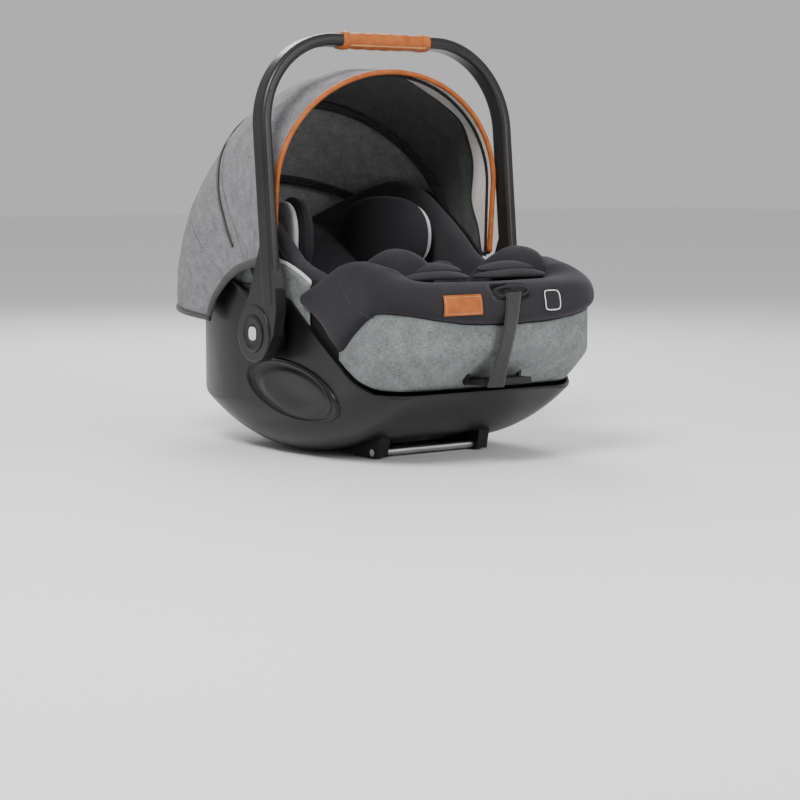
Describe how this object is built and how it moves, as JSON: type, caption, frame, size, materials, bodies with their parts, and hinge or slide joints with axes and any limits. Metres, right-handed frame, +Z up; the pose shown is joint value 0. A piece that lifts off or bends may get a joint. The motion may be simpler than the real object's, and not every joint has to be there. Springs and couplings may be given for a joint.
{
  "type": "infant car seat",
  "caption": "Rear-facing infant carrier: curved shell with a reclining padded seat, swinging carry handle, folding canopy, sliding headrest and harness.",
  "frame": {"origin": "middle of the footprint, on the plane of the rest pads", "axes": "+Z up; +Y from the child's feet to the head; +X towards the child's left hand"},
  "size_m": [0.443, 0.6774, 0.5845],
  "materials": {
    "shell_black": "satin moulded",
    "trim_black": "fine textured",
    "handle_anthracite": "satin",
    "button_black": "semi-gloss",
    "steel": "zinc plated",
    "foam": "expanded foam",
    "tan_leather": "fine grain, stitched",
    "fabric_black": "matt knit",
    "fabric_charcoal": "matt weave",
    "fabric_grey": "melange weave",
    "webbing": "woven webbing",
    "red_button": "satin",
    "rubber_pads": "matt",
    "label_white": "printed tape, blank"
  },
  "bodies": {
    "carrier_shell": {"outer_shell": "shell_black", "side_panel_right": "shell_black", "side_panel_left": "shell_black", "hub_pin_right": "trim_black", "hub_pin_left": "trim_black", "hub_ratchet_right": "trim_black", "hub_ratchet_left": "trim_black", "recline_rail_right": "trim_black", "recline_rail_left": "trim_black", "skid_right": "trim_black", "skid_left": "trim_black", "front_latch_bar": "steel", "rear_latch_bar": "steel", "skid_screws": "steel", "rest_pads": "rubber_pads", "canopy_panel_back": "fabric_grey"},
    "carry_handle": {"handle_bow": "handle_anthracite", "leather_grip": "tan_leather"},
    "hub_button_right": {"handle_button_right": "button_black"},
    "hub_button_left": {"handle_button_left": "button_black"},
    "canopy_rear": {"canopy_bow_rear": "trim_black", "canopy_panel_rear": "fabric_grey"},
    "canopy_mid": {"canopy_bow_mid": "trim_black", "canopy_panel_mid": "fabric_grey"},
    "canopy_front": {"canopy_bow_front": "trim_black", "canopy_panel_front": "fabric_charcoal", "canopy_rim_trim": "tan_leather"},
    "base_release": {"release_lever": "trim_black"},
    "seat": {"seat_shell": "shell_black", "front_foam": "foam", "back_foam": "foam", "side_bolster_right": "fabric_charcoal", "side_bolster_left": "fabric_charcoal", "front_apron": "fabric_grey", "side_cover_right": "fabric_black", "side_cover_left": "fabric_black", "front_roll": "fabric_black", "insert_lobe_right": "fabric_black", "insert_lobe_left": "fabric_black", "insert_pad": "fabric_black", "shoulder_strap_right": "webbing", "shoulder_strap_left": "webbing", "shoulder_pad_right": "fabric_black", "shoulder_pad_left": "fabric_black", "buckle": "trim_black", "buckle_tongues": "steel", "crotch_strap": "webbing", "crotch_pad": "fabric_black", "adjuster_bezel": "trim_black", "adjuster_strap": "webbing", "leather_tag": "tan_leather", "care_label": "label_white"},
    "headrest": {"headrest_frame": "trim_black", "headrest_pad": "fabric_black", "headrest_wing_right": "fabric_black", "headrest_wing_left": "fabric_black"},
    "headrest_release": {"headrest_lever": "trim_black"},
    "harness_release": {"buckle_button": "red_button"},
    "strap_release": {"adjuster_button": "trim_black"},
    "recline_release": {"recline_lever": "trim_black"}
  },
  "joints": [
    {"name": "handle_hinge", "type": "hinge", "parent": "carrier_shell", "child": "carry_handle", "pos_m": [0, -0.042, 0.171], "axis": [-1, 0, 0], "range_deg": [0, 110]},
    {"name": "hub_button_right_press", "type": "slide", "parent": "carry_handle", "child": "hub_button_right", "axis": [1, 0, 0], "range_m": [0, 0.004], "stiffness_N_per_m": 1500},
    {"name": "hub_button_left_press", "type": "slide", "parent": "carry_handle", "child": "hub_button_left", "axis": [-1, 0, 0], "range_m": [0, 0.004], "stiffness_N_per_m": 1500},
    {"name": "canopy_front_hinge", "type": "hinge", "parent": "canopy_mid", "child": "canopy_front", "pos_m": [0, -0.042, 0.171], "axis": [-1, 0, 0], "range_deg": [0, 16]},
    {"name": "canopy_mid_hinge", "type": "hinge", "parent": "canopy_rear", "child": "canopy_mid", "pos_m": [0, -0.042, 0.171], "axis": [-1, 0, 0], "range_deg": [0, 15]},
    {"name": "canopy_rear_hinge", "type": "hinge", "parent": "carrier_shell", "child": "canopy_rear", "pos_m": [0, -0.042, 0.171], "axis": [-1, 0, 0], "range_deg": [0, 27]},
    {"name": "base_release_squeeze", "type": "hinge", "parent": "carrier_shell", "child": "base_release", "pos_m": [0, 0.17165, 0.04028], "axis": [1, 0, 0], "range_deg": [0, 8], "stiffness_Nm_per_rad": 1.5},
    {"name": "recline_hinge", "type": "hinge", "parent": "carrier_shell", "child": "seat", "pos_m": [0, -0.026, 0.412], "axis": [-1, 0, 0], "range_deg": [0, 12]},
    {"name": "headrest_slide", "type": "slide", "parent": "seat", "child": "headrest", "axis": [0, 0.8694, 0.4942], "range_m": [-0.04, 0.025]},
    {"name": "headrest_release_pull", "type": "slide", "parent": "headrest", "child": "headrest_release", "axis": [0, 0.8694, 0.4942], "range_m": [0, 0.004], "stiffness_N_per_m": 800},
    {"name": "buckle_press", "type": "slide", "parent": "seat", "child": "harness_release", "axis": [0, 1, 0], "range_m": [0, 0.0035], "stiffness_N_per_m": 2500},
    {"name": "strap_release_press", "type": "slide", "parent": "seat", "child": "strap_release", "axis": [0, 1, 0], "range_m": [0, 0.004], "stiffness_N_per_m": 1500},
    {"name": "recline_release_squeeze", "type": "hinge", "parent": "seat", "child": "recline_release", "pos_m": [0, -0.292, 0.114], "axis": [-1, 0, 0], "range_deg": [0, 14], "stiffness_Nm_per_rad": 1.2}
  ],
  "couplings": [
    {"joint": "canopy_mid_hinge", "follows": "canopy_rear_hinge", "ratio": 0.5555},
    {"joint": "canopy_front_hinge", "follows": "canopy_rear_hinge", "ratio": 0.5925}
  ]
}
